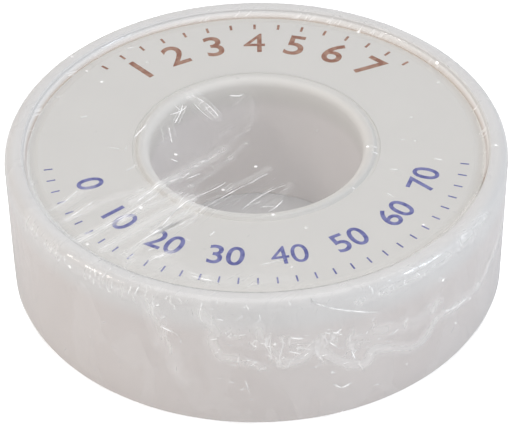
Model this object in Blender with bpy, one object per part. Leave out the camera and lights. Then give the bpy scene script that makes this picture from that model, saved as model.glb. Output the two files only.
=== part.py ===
"""Desoldering braid on a two-piece plastic spool, shrink-wrapped in clear film.

The spool lies flat on its floor, as it is sold. All sizes are in metres, +Z is up, and the
origin is at the centre of the underside. Every piece is a turned shape around the Z axis.
"""
import math

import bpy

# Sizes that the whole part follows
SHELL_RADIUS = 0.0375
SHELL_HEIGHT = 0.0228
BORE_RADIUS = 0.0160

# Outer shell: a shallow cup with a hole in its floor and a rim turned inwards
SHELL_WALL = 0.0015
FLOOR_THICKNESS = 0.0015
RIM_WIDTH = 0.00275
RIM_DEPTH = 0.0024
RIM_ROUND = 0.0015
RIM_EDGE_ROUND = 0.0004
FOOT_ROUND = 0.0008

# Inner spool: printed face disc, raised collar and hub tube in one moulding
FACE_DEPTH = 0.0012
DISC_THICKNESS = 0.0016
DISC_GAP = 0.0004
BAND_WIDTH = 0.0017
BAND_DROP = 0.0004
COLLAR_HEIGHT = 0.0004
COLLAR_CREST = 0.0022
COLLAR_SLOPE = 0.0004
COLLAR_EDGE_ROUND = 0.0002
LIP_ROUND = 0.0008
HUB_WALL = 0.0022
SPIGOT_WALL = 0.0014
SPIGOT_CLEARANCE = 0.0003
INNER_FILLET = 0.0005

# Copper braid, wound loosely in lanes and layers on the hub
BRAID_WIDTH = 0.0029
LAYER_PITCH = 0.00156
ROLL_FREE_ROOM = 0.0050
TURN_GROOVE = 0.0005

# Shrink film: a bag whose mouth is drawn in under the floor
FILM_THICKNESS = 0.00015
FILM_MOUTH_RADIUS = 0.0245
FILM_RIM_SLOPE = 0.0012
FILM_COLLAR_SLOPE = 0.0005
FILM_DISH_DEPTH = 0.0016
FILM_DISH_SLOPE = 0.0080

# Room left between pieces that lie on each other
SEAT_GAP = 0.0003

# How finely the round shapes are divided
TURNED_STEPS = 64
ROLL_STEPS = 40
ROUND_STEPS = 3

# Heights that follow from the sizes above
SHELL_BASE = FILM_THICKNESS + SEAT_GAP
FLOOR_TOP = SHELL_BASE + FLOOR_THICKNESS
RIM_TOP = SHELL_BASE + SHELL_HEIGHT
FACE_TOP = RIM_TOP - FACE_DEPTH
DISC_UNDERSIDE = FACE_TOP - DISC_THICKNESS
COLLAR_TOP = FACE_TOP + COLLAR_HEIGHT
HUB_SEAT = FLOOR_TOP + SEAT_GAP
ROLL_BOTTOM = FLOOR_TOP + SEAT_GAP
ROLL_TOP = DISC_UNDERSIDE - SEAT_GAP

# Radii that follow from the sizes above
RIM_RADIUS = SHELL_RADIUS - RIM_WIDTH
DISC_RADIUS = RIM_RADIUS - DISC_GAP
FACE_RADIUS = DISC_RADIUS - BAND_WIDTH
HUB_RADIUS = BORE_RADIUS + HUB_WALL
SPIGOT_RADIUS = BORE_RADIUS + SPIGOT_WALL
FLOOR_HOLE_RADIUS = SPIGOT_RADIUS + SPIGOT_CLEARANCE
COLLAR_CREST_RADIUS = BORE_RADIUS + COLLAR_CREST
COLLAR_FOOT_RADIUS = COLLAR_CREST_RADIUS + COLLAR_SLOPE
ROLL_BORE_RADIUS = HUB_RADIUS + SEAT_GAP
WALL_INSIDE_RADIUS = SHELL_RADIUS - SHELL_WALL
ROLL_RADIUS = WALL_INSIDE_RADIUS - ROLL_FREE_ROOM


def clear_scene():
    """Remove whatever the open file holds."""
    for item in list(bpy.data.objects):
        bpy.data.objects.remove(item, do_unlink=True)


def plain_material(name, colour, roughness, metallic=0.0, transmission=0.0):
    """A Principled material of one colour."""
    material = bpy.data.materials.new(name)
    material.use_nodes = True
    shader = material.node_tree.nodes["Principled BSDF"]
    shader.inputs["Base Color"].default_value = (*colour, 1.0)
    shader.inputs["Roughness"].default_value = roughness
    shader.inputs["Metallic"].default_value = metallic
    shader.inputs["Transmission Weight"].default_value = transmission
    return material


def filleted(corners, closed=True):
    """Turn (radius, height, fillet) corners into outline points, each fillet a tangent arc."""
    points = []
    count = len(corners)
    for index, (x, z, fillet) in enumerate(corners):
        is_end = not closed and index in (0, count - 1)
        if fillet == 0.0 or is_end:
            points.append((x, z))
            continue
        before = corners[index - 1]
        after = corners[(index + 1) % count]
        points.extend(tangent_arc(before, (x, z), after, fillet))
    return points


def tangent_arc(before, corner, after, fillet):
    """Points of the arc of radius fillet that touches both sides of a corner."""
    x, z = corner
    length_in = math.hypot(before[0] - x, before[1] - z)
    length_out = math.hypot(after[0] - x, after[1] - z)
    in_x = (before[0] - x) / length_in
    in_z = (before[1] - z) / length_in
    out_x = (after[0] - x) / length_out
    out_z = (after[1] - z) / length_out
    half_angle = math.acos(in_x * out_x + in_z * out_z) / 2
    reach = min(fillet / math.tan(half_angle), 0.45 * length_in, 0.45 * length_out)
    radius = reach * math.tan(half_angle)
    to_centre = radius / math.sin(half_angle)
    middle_length = math.hypot(in_x + out_x, in_z + out_z)
    centre_x = x + (in_x + out_x) / middle_length * to_centre
    centre_z = z + (in_z + out_z) / middle_length * to_centre
    start = math.atan2(z + in_z * reach - centre_z, x + in_x * reach - centre_x)
    end = math.atan2(z + out_z * reach - centre_z, x + out_x * reach - centre_x)
    sweep = (end - start + math.pi) % (2 * math.pi) - math.pi
    arc = []
    for step in range(ROUND_STEPS + 1):
        angle = start + sweep * step / ROUND_STEPS
        arc.append((centre_x + radius * math.cos(angle), centre_z + radius * math.sin(angle)))
    return arc


def turned(name, outline, material, steps=TURNED_STEPS, closed=True):
    """Turn an outline around the Z axis into one solid.

    The outline runs outwards along the top, down the outer side and back along the bottom.
    An open outline starts and ends on the axis.
    """
    vertices = [(x, 0.0, z) for x, z in outline]
    edges = [(index, index + 1) for index in range(len(outline) - 1)]
    if closed:
        edges.append((len(outline) - 1, 0))
    mesh = bpy.data.meshes.new(name)
    mesh.from_pydata(vertices, edges, [])
    piece = bpy.data.objects.new(name, mesh)
    bpy.context.collection.objects.link(piece)
    mesh.materials.append(material)
    screw = piece.modifiers.new("Turn", "SCREW")
    screw.axis = "Z"
    screw.angle = 2 * math.pi
    screw.steps = steps
    screw.render_steps = steps
    screw.use_smooth_shade = True
    screw.use_merge_vertices = not closed
    screw.merge_threshold = 0.00001
    return piece


def spool_outline():
    """Face disc, collar and hub tube, from the lip of the bore round to the tube's lower end."""
    return filleted([
        (BORE_RADIUS, COLLAR_TOP, LIP_ROUND),
        (COLLAR_CREST_RADIUS, COLLAR_TOP, COLLAR_EDGE_ROUND),
        (COLLAR_FOOT_RADIUS, FACE_TOP, 0.0),
        (FACE_RADIUS, FACE_TOP, 0.0),
        (DISC_RADIUS, FACE_TOP - BAND_DROP, 0.0),
        (DISC_RADIUS, DISC_UNDERSIDE, 0.0),
        (HUB_RADIUS, DISC_UNDERSIDE, 0.0),
        (HUB_RADIUS, HUB_SEAT, 0.0),
        (SPIGOT_RADIUS, HUB_SEAT, 0.0),
        (SPIGOT_RADIUS, SHELL_BASE, 0.0),
        (BORE_RADIUS, SHELL_BASE, 0.0),
    ])


def shell_outline():
    """Cup wall with its turned-in rim and its floor, open at the hub."""
    rim_underside = RIM_TOP - RIM_DEPTH
    return filleted([
        (RIM_RADIUS, RIM_TOP, RIM_EDGE_ROUND),
        (SHELL_RADIUS, RIM_TOP, RIM_ROUND),
        (SHELL_RADIUS, SHELL_BASE, FOOT_ROUND),
        (FLOOR_HOLE_RADIUS, SHELL_BASE, 0.0),
        (FLOOR_HOLE_RADIUS, FLOOR_TOP, 0.0),
        (WALL_INSIDE_RADIUS, FLOOR_TOP, INNER_FILLET),
        (WALL_INSIDE_RADIUS, rim_underside, 0.0),
        (RIM_RADIUS, rim_underside, 0.0),
    ])


def ridges(start, end, width, crest, groove):
    """Zigzag along one line: a groove between neighbouring turns and a crest on each turn."""
    turns = max(1, round(abs(end - start) / width))
    step = (end - start) / turns
    points = []
    for turn in range(turns):
        points.append((start + step * turn, groove))
        points.append((start + step * (turn + 0.5), crest))
    return points


def roll_outline():
    """Wound braid: its layers show as rings on both ends, and its lanes on the outer side."""
    low_groove = ROLL_BOTTOM + TURN_GROOVE
    high_groove = ROLL_TOP - TURN_GROOVE
    side_groove = ROLL_RADIUS - TURN_GROOVE
    top = ridges(ROLL_BORE_RADIUS, side_groove, LAYER_PITCH, ROLL_TOP, high_groove)
    side = ridges(high_groove, low_groove, BRAID_WIDTH, ROLL_RADIUS, side_groove)
    bottom = ridges(side_groove, ROLL_BORE_RADIUS, LAYER_PITCH, ROLL_BOTTOM, low_groove)
    outline = top
    outline += [(radius, height) for height, radius in side]
    outline += bottom
    outline.append((ROLL_BORE_RADIUS, low_groove))
    return outline


def film_face():
    """Corners of the film's inner side over the face, from the middle of the bore to the rim."""
    over_collar = COLLAR_TOP + SEAT_GAP
    over_face = FACE_TOP + SEAT_GAP
    dish_edge = BORE_RADIUS + LIP_ROUND
    return [
        (0.0, over_collar - FILM_DISH_DEPTH),
        (dish_edge - FILM_DISH_SLOPE, over_collar - FILM_DISH_DEPTH),
        (dish_edge, over_collar),
        (COLLAR_CREST_RADIUS, over_collar),
        (COLLAR_FOOT_RADIUS + FILM_COLLAR_SLOPE, over_face),
        (FACE_RADIUS - FILM_RIM_SLOPE, over_face),
        (RIM_RADIUS, RIM_TOP + SEAT_GAP),
    ]


def film_outline():
    """Film dished over the bore, on the face and over the rim, down the wall and under the floor."""
    inside = SHELL_RADIUS + SEAT_GAP
    outside = inside + FILM_THICKNESS
    over_rim = RIM_TOP + SEAT_GAP
    top_round = RIM_ROUND + SEAT_GAP
    foot_round = FOOT_ROUND + SEAT_GAP
    face = film_face()
    outer_side = [(radius, height + FILM_THICKNESS, 0.0) for radius, height in face]
    outer_side += [
        (outside, over_rim + FILM_THICKNESS, top_round + FILM_THICKNESS),
        (outside, 0.0, foot_round + FILM_THICKNESS),
        (FILM_MOUTH_RADIUS, 0.0, 0.0),
    ]
    inner_side = [
        (FILM_MOUTH_RADIUS, FILM_THICKNESS, 0.0),
        (inside, FILM_THICKNESS, foot_round),
        (inside, over_rim, top_round),
    ]
    inner_side += [(radius, height, 0.0) for radius, height in reversed(face)]
    return filleted(outer_side + inner_side, closed=False)


def build():
    """Make the four pieces where they lie."""
    clear_scene()
    white_plastic = plain_material("white_plastic", (0.72, 0.71, 0.68), 0.42)
    shell_plastic = plain_material("shell_plastic", (0.70, 0.69, 0.66), 0.40)
    bare_copper = plain_material("bare_copper", (0.62, 0.30, 0.18), 0.45, metallic=1.0)
    clear_film = plain_material("clear_film", (0.95, 0.95, 0.95), 0.08, transmission=1.0)
    turned("shell", shell_outline(), shell_plastic)
    turned("spool", spool_outline(), white_plastic)
    turned("braid_roll", roll_outline(), bare_copper, ROLL_STEPS)
    turned("shrink_film", film_outline(), clear_film, closed=False)


build()
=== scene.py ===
# %% [markdown]
# # A reel of desoldering braid in shrink film
#
# Desoldering braid is a flat ribbon of woven copper that soaks up molten solder. It is sold
# wound on a reel of two white mouldings: a cup, and a face disc with a hub tube through its
# middle. The whole reel is sealed in clear shrink film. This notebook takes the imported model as
# a fixed frame, measures it, and builds the finished surfaces around it piece by piece.

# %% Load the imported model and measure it
import math
import random

import bmesh
import bpy
import numpy as np
from mathutils import Matrix, Vector, noise


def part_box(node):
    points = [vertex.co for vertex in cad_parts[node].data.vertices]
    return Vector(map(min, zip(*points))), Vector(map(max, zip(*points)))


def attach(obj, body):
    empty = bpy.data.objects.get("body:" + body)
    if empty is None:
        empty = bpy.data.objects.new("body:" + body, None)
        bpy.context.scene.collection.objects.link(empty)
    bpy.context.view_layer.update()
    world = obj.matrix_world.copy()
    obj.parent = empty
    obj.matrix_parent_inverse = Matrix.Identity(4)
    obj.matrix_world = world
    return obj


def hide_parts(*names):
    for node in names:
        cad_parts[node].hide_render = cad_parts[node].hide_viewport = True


MM = 0.001
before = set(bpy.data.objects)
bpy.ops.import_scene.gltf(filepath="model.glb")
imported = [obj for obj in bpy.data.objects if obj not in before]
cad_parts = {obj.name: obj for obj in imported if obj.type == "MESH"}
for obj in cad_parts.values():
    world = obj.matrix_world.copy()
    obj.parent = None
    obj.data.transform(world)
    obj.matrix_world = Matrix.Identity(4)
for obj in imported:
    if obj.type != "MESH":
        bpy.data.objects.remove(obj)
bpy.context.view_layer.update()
shell_low, shell_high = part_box("shell")
spool_low, spool_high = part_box("spool")
roll_low, roll_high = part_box("braid_roll")

# %% [markdown]
# ## Sizes
#
# A turned piece is known by a few radii and heights. The outer ones are read from the frame, so
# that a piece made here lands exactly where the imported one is. The small ones, such as the width
# of the rim, are named here.

# %% Radii and heights of the two mouldings
SIDES = 240
BORE_RADIUS = 16.0 * MM
RIM_WIDTH = 2.75 * MM
RIM_DEPTH = 2.4 * MM
SHELL_WALL = 1.5 * MM
FLOOR_THICKNESS = 1.5 * MM
FACE_DEPTH = 1.2 * MM
DISC_THICKNESS = 1.6 * MM
BAND_WIDTH = 1.7 * MM
BAND_DROP = 0.4 * MM
COLLAR_CREST = 1.7 * MM
COLLAR_SLOPE = 0.9 * MM
FOOT_GROOVE = 0.15 * MM
HUB_WALL = 2.2 * MM
SPIGOT_WALL = 1.4 * MM
SEAT_GAP = 0.3 * MM
RIM_ROUND = 1.5 * MM
LIP_ROUND = 1.4 * MM
# height of the hub's end, and of the film's inner side under the floor
UNDERSIDE_HEIGHT = 0.05 * MM

shell_radius = shell_high.x
shell_base = shell_low.z
rim_top = shell_high.z
floor_top = shell_base + FLOOR_THICKNESS
rim_radius = shell_radius - RIM_WIDTH
wall_inside = shell_radius - SHELL_WALL
disc_radius = spool_high.x
collar_top = spool_high.z
face_top = rim_top - FACE_DEPTH
disc_underside = face_top - DISC_THICKNESS
face_radius = disc_radius - BAND_WIDTH
hub_radius = BORE_RADIUS + HUB_WALL
spigot_radius = BORE_RADIUS + SPIGOT_WALL
crest_radius = BORE_RADIUS + COLLAR_CREST
print("rim radius", round(rim_radius / MM, 2), "face height", round(face_top / MM, 2))

# %% [markdown]
# ## Camera
#
# The photograph looks down at the reel from a little under forty degrees, from close by, so the
# front is seen a little larger than the back. The camera is placed by its distance and elevation
# from a point on the reel's axis. A small shift puts that point off the picture's middle, as it
# is in the photograph.

# %% Place the camera
AIM_HEIGHT = 11.66 * MM
CAMERA_DISTANCE = 330.8 * MM
CAMERA_ELEVATION = math.radians(38.67)
CAMERA_ROLL = math.radians(-0.8)
LENS = 152.35
SHIFT = (-0.0018, -0.0299)


def place_camera():
    """Camera in front of the reel, tilted by a small roll about its own line of sight."""
    back = Vector((0.0, -math.cos(CAMERA_ELEVATION), math.sin(CAMERA_ELEVATION)))
    level = Vector((1.0, 0.0, 0.0))
    upright = back.cross(level)
    right = level * math.cos(CAMERA_ROLL) + upright * math.sin(CAMERA_ROLL)
    up = upright * math.cos(CAMERA_ROLL) - level * math.sin(CAMERA_ROLL)
    bpy.ops.object.camera_add()
    camera = bpy.context.object
    camera.name = "camera"
    turn = Matrix((right, up, back)).transposed().to_4x4()
    place = Vector((0.0, 0.0, AIM_HEIGHT)) + back * CAMERA_DISTANCE
    camera.matrix_world = Matrix.Translation(place) @ turn
    camera.data.lens = LENS
    camera.data.shift_x, camera.data.shift_y = SHIFT
    camera.data.clip_start = 10 * MM
    bpy.context.scene.camera = camera
    return camera


camera = place_camera()
print("camera height in mm:", round(camera.location.z / MM, 1))

# %% [markdown]
# ## Light
#
# A white table in a white room: the light comes from everywhere, a little warmer from the left
# and cooler from the right. What makes clear film visible is how it mirrors bright lamps, so there
# are three softboxes besides the even light: a broad one above and a small one at each side. The
# table is overexposed, as it is in the photograph: away from the reel it glows, for the camera
# more than for what it lights.

# %% Set the world, the lamps and the floor
TABLE_GLOW = 0.12
# brightness of the table by distance from the axis, in millimetres
TABLE_RINGS = ((0.0, 0.0), (32.0, 0.0), (37.0, 1.0))
TABLE_WHITE = 0.86
# painted shade: how grey the table is under the bore
TABLE_SHADE_IN_BORE = 0.75
# painted shade: the table is greyer up to the first radius, under the bore, and fully white from
# the second
TABLE_GREY_TO = 18.0 * MM
TABLE_WHITE_FROM = 22.0 * MM
TABLE_REACH = 50.0 * MM
WORLD_STRENGTH = 0.63
WARM_SIDE = (1.04, 0.985, 0.935)
COOL_SIDE = (0.945, 0.995, 1.085)
# name, place and size in metres, power in watts, and colour
LAMPS = (
    ("lamp_top", (0.0, 0.0, 1.05), 0.90, 2.9, (1.0, 0.99, 0.98)),
    ("lamp_left", (-0.85, -0.20, 0.60), 0.20, 1.2, (1.0, 0.91, 0.86)),
    ("lamp_right", (0.85, -0.20, 0.60), 0.20, 1.45, (0.80, 0.89, 1.0)),
)


def soft_world():
    """Soft light from all round, warmer from the left and cooler from the right."""
    world = bpy.data.worlds.new("white_room")
    world.use_nodes = True
    nodes, links = world.node_tree.nodes, world.node_tree.links
    background = nodes["Background"]
    background.inputs["Strength"].default_value = WORLD_STRENGTH
    direction = nodes.new("ShaderNodeTexCoord")
    axes = nodes.new("ShaderNodeSeparateXYZ")
    side = nodes.new("ShaderNodeMapRange")
    side.inputs["From Min"].default_value = -1.0
    tint = nodes.new("ShaderNodeMix")
    tint.data_type = "RGBA"
    tint.inputs[6].default_value = (*WARM_SIDE, 1.0)
    tint.inputs[7].default_value = (*COOL_SIDE, 1.0)
    links.new(direction.outputs["Generated"], axes.inputs[0])
    links.new(axes.outputs["X"], side.inputs["Value"])
    links.new(side.outputs[0], tint.inputs[0])
    links.new(tint.outputs[2], background.inputs["Color"])
    bpy.context.scene.world = world


def softbox(name, place, size, power, colour):
    """A square lamp that faces the middle of the reel."""
    bpy.ops.object.light_add(type="AREA", location=place)
    lamp = bpy.context.object
    lamp.name = name
    lamp.data.shape = "SQUARE"
    lamp.data.size = size
    lamp.data.energy = power
    lamp.data.color = colour
    aim = Vector((0.0, 0.0, AIM_HEIGHT)) - Vector(place)
    lamp.rotation_euler = aim.to_track_quat("-Z", "Y").to_euler()
    return lamp


soft_world()
for lamp in LAMPS:
    softbox(*lamp)

view = bpy.context.scene.view_settings
view.view_transform = "Standard"
view.look = "None"


def table_top():
    """A white table, overexposed for the camera from just outside the reel, with painted shade
    under the bore.
    """
    bpy.ops.mesh.primitive_plane_add(size=6.0, location=(0.0, 0.0, 0.0))
    table = bpy.context.object
    table.name = "table"
    material = bpy.data.materials.new("table_white")
    material.use_nodes = True
    nodes, links = material.node_tree.nodes, material.node_tree.links
    shader = nodes["Principled BSDF"]
    shader.inputs["Roughness"].default_value = 0.8
    place = nodes.new("ShaderNodeTexCoord")
    away = nodes.new("ShaderNodeVectorMath")
    away.operation = "LENGTH"
    links.new(place.outputs["Object"], away.inputs[0])
    shade = nodes.new("ShaderNodeMapRange")
    shade.inputs["From Min"].default_value = TABLE_GREY_TO
    shade.inputs["From Max"].default_value = TABLE_WHITE_FROM
    shade.inputs["To Min"].default_value = TABLE_SHADE_IN_BORE
    shade.inputs["To Max"].default_value = TABLE_WHITE
    links.new(away.outputs["Value"], shade.inputs["Value"])
    links.new(shade.outputs[0], shader.inputs["Base Color"])
    reach = nodes.new("ShaderNodeMapRange")
    reach.inputs["From Max"].default_value = TABLE_REACH
    links.new(away.outputs["Value"], reach.inputs["Value"])
    fade = nodes.new("ShaderNodeValToRGB")
    while len(fade.color_ramp.elements) < len(TABLE_RINGS):
        fade.color_ramp.elements.new(1.0)
    for stop, (radius, brightness) in zip(fade.color_ramp.elements, TABLE_RINGS):
        stop.position = radius * MM / TABLE_REACH
        stop.color = (brightness, brightness, brightness, 1.0)
    links.new(reach.outputs[0], fade.inputs[0])
    path = nodes.new("ShaderNodeLightPath")
    share = nodes.new("ShaderNodeMapRange")
    share.inputs["To Min"].default_value = TABLE_GLOW
    links.new(path.outputs["Is Camera Ray"], share.inputs["Value"])
    glow = nodes.new("ShaderNodeMath")
    glow.operation = "MULTIPLY"
    links.new(fade.outputs[0], glow.inputs[0])
    links.new(share.outputs[0], glow.inputs[1])
    links.new(glow.outputs[0], shader.inputs["Emission Strength"])
    shader.inputs["Emission Color"].default_value = (1.0, 1.0, 1.0, 1.0)
    table.data.materials.append(material)


table_top()

# %% [markdown]
# ## Helpers for work in edit mode
#
# Most operators act on what is selected, so each step first clears the selection and then picks
# vertices by their place. Turned pieces are all made alike: one ring is drawn, and it is extruded
# and scaled along the outline, ring by ring. A lathe would do the same.


# %% Pick, round and turn
def start_edit(piece, mode="VERT"):
    """Open a piece in edit mode with nothing selected."""
    bpy.ops.object.select_all(action="DESELECT")
    piece.select_set(True)
    bpy.context.view_layer.objects.active = piece
    bpy.ops.object.mode_set(mode="EDIT")
    bpy.ops.mesh.select_mode(type=mode)
    bpy.ops.mesh.select_all(action="DESELECT")


def end_edit():
    """Back to object mode."""
    bpy.ops.object.mode_set(mode="OBJECT")


def pick(piece, test):
    """Select the vertices whose place passes a test, and the edges and faces between them."""
    cage = bmesh.from_edit_mesh(piece.data)
    for corner in cage.verts:
        corner.select = test(corner.co)
    cage.select_flush(True)
    bmesh.update_edit_mesh(piece.data)


def on_ring(radius, height, slack=0.02 * MM):
    """A test that is true on the ring of this radius and height."""
    return lambda co: abs(math.hypot(co.x, co.y) - radius) < slack and abs(co.z - height) < slack


def turn_outline(name, outline, sides=SIDES, closed=True, middle="NOTHING"):
    """Draw a ring at the outline's first point and extrude it to each next (radius, height)."""
    radius, height = outline[0]
    bpy.ops.object.select_all(action="DESELECT")
    bpy.ops.mesh.primitive_circle_add(
        vertices=sides, radius=radius, fill_type=middle, location=(0.0, 0.0, height))
    piece = bpy.context.object
    piece.name = name
    bpy.ops.object.transform_apply(location=True, rotation=True, scale=True)
    start_edit(piece, "EDGE")
    pick(piece, on_ring(radius, height))
    for next_radius, next_height in outline[1:]:
        bpy.ops.mesh.extrude_edges_move(
            TRANSFORM_OT_translate={"value": (0.0, 0.0, next_height - height)})
        grow = next_radius / radius
        bpy.ops.transform.resize(value=(grow, grow, 1.0), center_override=(0.0, 0.0, next_height))
        radius, height = next_radius, next_height
    if closed:
        bpy.ops.mesh.select_all(action="DESELECT")
        bpy.ops.mesh.select_non_manifold(extend=False)
        bpy.ops.mesh.bridge_edge_loops()
    bpy.ops.mesh.select_all(action="SELECT")
    bpy.ops.mesh.remove_doubles(threshold=0.001 * MM)
    bpy.ops.mesh.normals_make_consistent(inside=False)
    end_edit()
    return piece


def round_ring(piece, radius, height, by, segments=5):
    """Break the sharp edge that runs round at this radius and height."""
    start_edit(piece, "EDGE")
    pick(piece, on_ring(radius, height))
    bpy.ops.mesh.bevel(offset=by, segments=segments, profile=0.5, affect="EDGES")
    end_edit()


def smooth(piece, degrees=35.0):
    """Shade round surfaces smoothly, and keep edges sharper than the angle."""
    bpy.ops.object.select_all(action="DESELECT")
    piece.select_set(True)
    bpy.context.view_layer.objects.active = piece
    bpy.ops.object.shade_smooth_by_angle(angle=math.radians(degrees))


def seat(piece, slot, *nodes):
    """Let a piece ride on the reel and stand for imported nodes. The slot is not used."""
    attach(piece, "root")
    if nodes:
        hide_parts(*nodes)
    triangles = sum(len(face.vertices) - 2 for face in piece.data.polygons)
    print(piece.name, "has", triangles, "triangles")


# %% [markdown]
# ## Finish of the plastic
#
# White polystyrene is never quite one colour. It is a little translucent, so the copper behind
# the wall warms it. Light is painted in as well: copper light in the gap round the disc, light
# through the thin lip of the bore, and a lighter hub tube in the bore. The polished mould leaves
# faint clouds in its gloss. Clouds are used by more than one material, so they are a node group.
# It has a size and a relief, and gives a mask to blend two shades with, and a normal.


# %% A node group for faint clouds
def clouds_group():
    """Soft spots of low contrast: a mask, and a normal for the Principled shader."""
    group = bpy.data.node_groups.new("faint_clouds", "ShaderNodeTree")
    group.interface.new_socket("Size", in_out="INPUT", socket_type="NodeSocketFloat")
    group.interface.new_socket("Relief", in_out="INPUT", socket_type="NodeSocketFloat")
    group.interface.new_socket("Mask", in_out="OUTPUT", socket_type="NodeSocketFloat")
    group.interface.new_socket("Normal", in_out="OUTPUT", socket_type="NodeSocketVector")
    nodes, links = group.nodes, group.links
    way_in = nodes.new("NodeGroupInput")
    way_out = nodes.new("NodeGroupOutput")
    place = nodes.new("ShaderNodeTexCoord")
    cloud = nodes.new("ShaderNodeTexNoise")
    cloud.inputs["Detail"].default_value = 4.0
    relief = nodes.new("ShaderNodeBump")
    relief.inputs["Distance"].default_value = 0.1 * MM
    links.new(place.outputs["Object"], cloud.inputs["Vector"])
    links.new(way_in.outputs["Size"], cloud.inputs["Scale"])
    links.new(cloud.outputs["Fac"], relief.inputs["Height"])
    links.new(way_in.outputs["Relief"], relief.inputs["Strength"])
    links.new(cloud.outputs["Fac"], way_out.inputs["Mask"])
    links.new(relief.outputs["Normal"], way_out.inputs["Normal"])
    return group


faint_clouds = clouds_group()


# %% White plastic, warmed by the copper behind it, with painted light in the gap, at the lip of the bore and on the hub tube
# one place where the gap round the disc stays dark, on the face in millimetres
OPEN_GAP = (33.0, -11.0)
OPEN_REACH = 2.8 * MM
# painted light: the copper colour that glows on the inner wall by the gap, and from the braid
# itself
PAINTED_COPPER_LIGHT = (0.12, 0.085, 0.06)
# painted light that comes through the thin lip of the bore, and how far down it reaches
LIP_GLOW = (0.10, 0.097, 0.094)
LIP_DEPTH = 5.0 * MM


def new_material(name):
    """A material with nodes, and its Principled shader."""
    material = bpy.data.materials.new(name)
    material.use_nodes = True
    return material, material.node_tree.nodes["Principled BSDF"]


def add_clouds(material, size, relief):
    """Place the cloud group in a material with its own values."""
    cloud = material.node_tree.nodes.new("ShaderNodeGroup")
    cloud.node_tree = faint_clouds
    cloud.inputs["Size"].default_value = size
    cloud.inputs["Relief"].default_value = relief
    return cloud


def blend_colours(material, mask, low, high):
    """A Mix node between two colours, driven by a mask socket."""
    mix = material.node_tree.nodes.new("ShaderNodeMix")
    mix.data_type = "RGBA"
    mix.inputs[6].default_value = (*low, 1.0)
    mix.inputs[7].default_value = (*high, 1.0)
    material.node_tree.links.new(mask, mix.inputs[0])
    return mix


def between(material, value, from_low, from_high, to_low, to_high):
    """A Map Range node on a value socket."""
    spread = material.node_tree.nodes.new("ShaderNodeMapRange")
    spread.interpolation_type = "SMOOTHSTEP"
    spread.inputs["From Min"].default_value = from_low
    spread.inputs["From Max"].default_value = from_high
    spread.inputs["To Min"].default_value = to_low
    spread.inputs["To Max"].default_value = to_high
    material.node_tree.links.new(value, spread.inputs["Value"])
    return spread


def calculate(material, operation, *values):
    """A Math node on sockets or numbers."""
    node = material.node_tree.nodes.new("ShaderNodeMath")
    node.operation = operation
    for index, value in enumerate(values):
        if isinstance(value, (int, float)):
            node.inputs[index].default_value = value
        else:
            material.node_tree.links.new(value, node.inputs[index])
    return node.outputs[0]


def white_plastic(name, shade, warm, gap_from, gap_to, gap_low, gap_high):
    """Moulded polystyrene: cloudy gloss, a tint low down beside the braid, painted copper light in
    the gap and painted light at the lip of the bore.
    """
    material, shader = new_material(name)
    nodes, links = material.node_tree.nodes, material.node_tree.links
    cloud = add_clouds(material, 90.0, 0.05)
    base = blend_colours(material, cloud.outputs["Mask"], [0.97 * c for c in shade], shade)
    place = nodes.new("ShaderNodeTexCoord")
    axes = nodes.new("ShaderNodeSeparateXYZ")
    links.new(place.outputs["Object"], axes.inputs[0])
    # the lower part takes the second colour: on the shell the copper behind it showing through, on
    # the spool's hub tube painted light that makes the bore lighter
    behind = between(material, axes.outputs["Z"], roll_high.z, disc_underside - 4 * MM, 0.0, 1.0)
    tint = nodes.new("ShaderNodeMix")
    tint.data_type = "RGBA"
    links.new(behind.outputs[0], tint.inputs[0])
    links.new(base.outputs[2], tint.inputs[6])
    tint.inputs[7].default_value = (*warm, 1.0)
    links.new(tint.outputs[2], shader.inputs["Base Color"])
    gloss = between(material, cloud.outputs["Mask"], 0.3, 0.7, 0.34, 0.48)
    links.new(gloss.outputs[0], shader.inputs["Roughness"])
    links.new(cloud.outputs["Normal"], shader.inputs["Normal"])
    flat = nodes.new("ShaderNodeCombineXYZ")
    links.new(axes.outputs["X"], flat.inputs["X"])
    links.new(axes.outputs["Y"], flat.inputs["Y"])
    away = nodes.new("ShaderNodeVectorMath")
    away.operation = "LENGTH"
    links.new(flat.outputs[0], away.inputs[0])
    near_gap = between(material, away.outputs["Value"], gap_from, gap_to, 0.0, 1.0)
    under_top = between(material, axes.outputs["Z"], gap_high - 0.3 * MM, gap_high, 1.0, 0.0)
    over_floor = between(material, axes.outputs["Z"], gap_low, gap_low + 1.0 * MM, 0.0, 1.0)
    inner = calculate(material, "MULTIPLY", near_gap.outputs[0], under_top.outputs[0])
    inner = calculate(material, "MULTIPLY", inner, over_floor.outputs[0])
    from_open = nodes.new("ShaderNodeVectorMath")
    from_open.operation = "DISTANCE"
    links.new(flat.outputs[0], from_open.inputs[0])
    from_open.inputs[1].default_value = (OPEN_GAP[0] * MM, OPEN_GAP[1] * MM, 0.0)
    closed = between(material, from_open.outputs["Value"], 0.7 * OPEN_REACH, OPEN_REACH, 0.0, 1.0)
    inner = calculate(material, "MULTIPLY", inner, closed.outputs[0])
    # painted copper light on the inner wall by the gap
    glow = blend_colours(material, inner, (0.0, 0.0, 0.0), PAINTED_COPPER_LIGHT)
    lip_outer = BORE_RADIUS + 1.3 * MM
    lip_inner = BORE_RADIUS + 0.4 * MM
    by_lip = between(material, away.outputs["Value"], lip_outer, lip_inner, 0.0, 1.0)
    lip_low = collar_top - LIP_DEPTH
    by_top = between(material, axes.outputs["Z"], lip_low, collar_top - 0.5 * MM, 0.0, 1.0)
    lip = calculate(material, "MULTIPLY", by_lip.outputs[0], by_top.outputs[0])
    both = nodes.new("ShaderNodeMix")
    both.data_type = "RGBA"
    links.new(lip, both.inputs[0])
    links.new(glow.outputs[2], both.inputs[6])
    both.inputs[7].default_value = (*LIP_GLOW, 1.0)
    links.new(both.outputs[2], shader.inputs["Emission Color"])
    shader.inputs["Emission Strength"].default_value = 1.0
    return material


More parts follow.
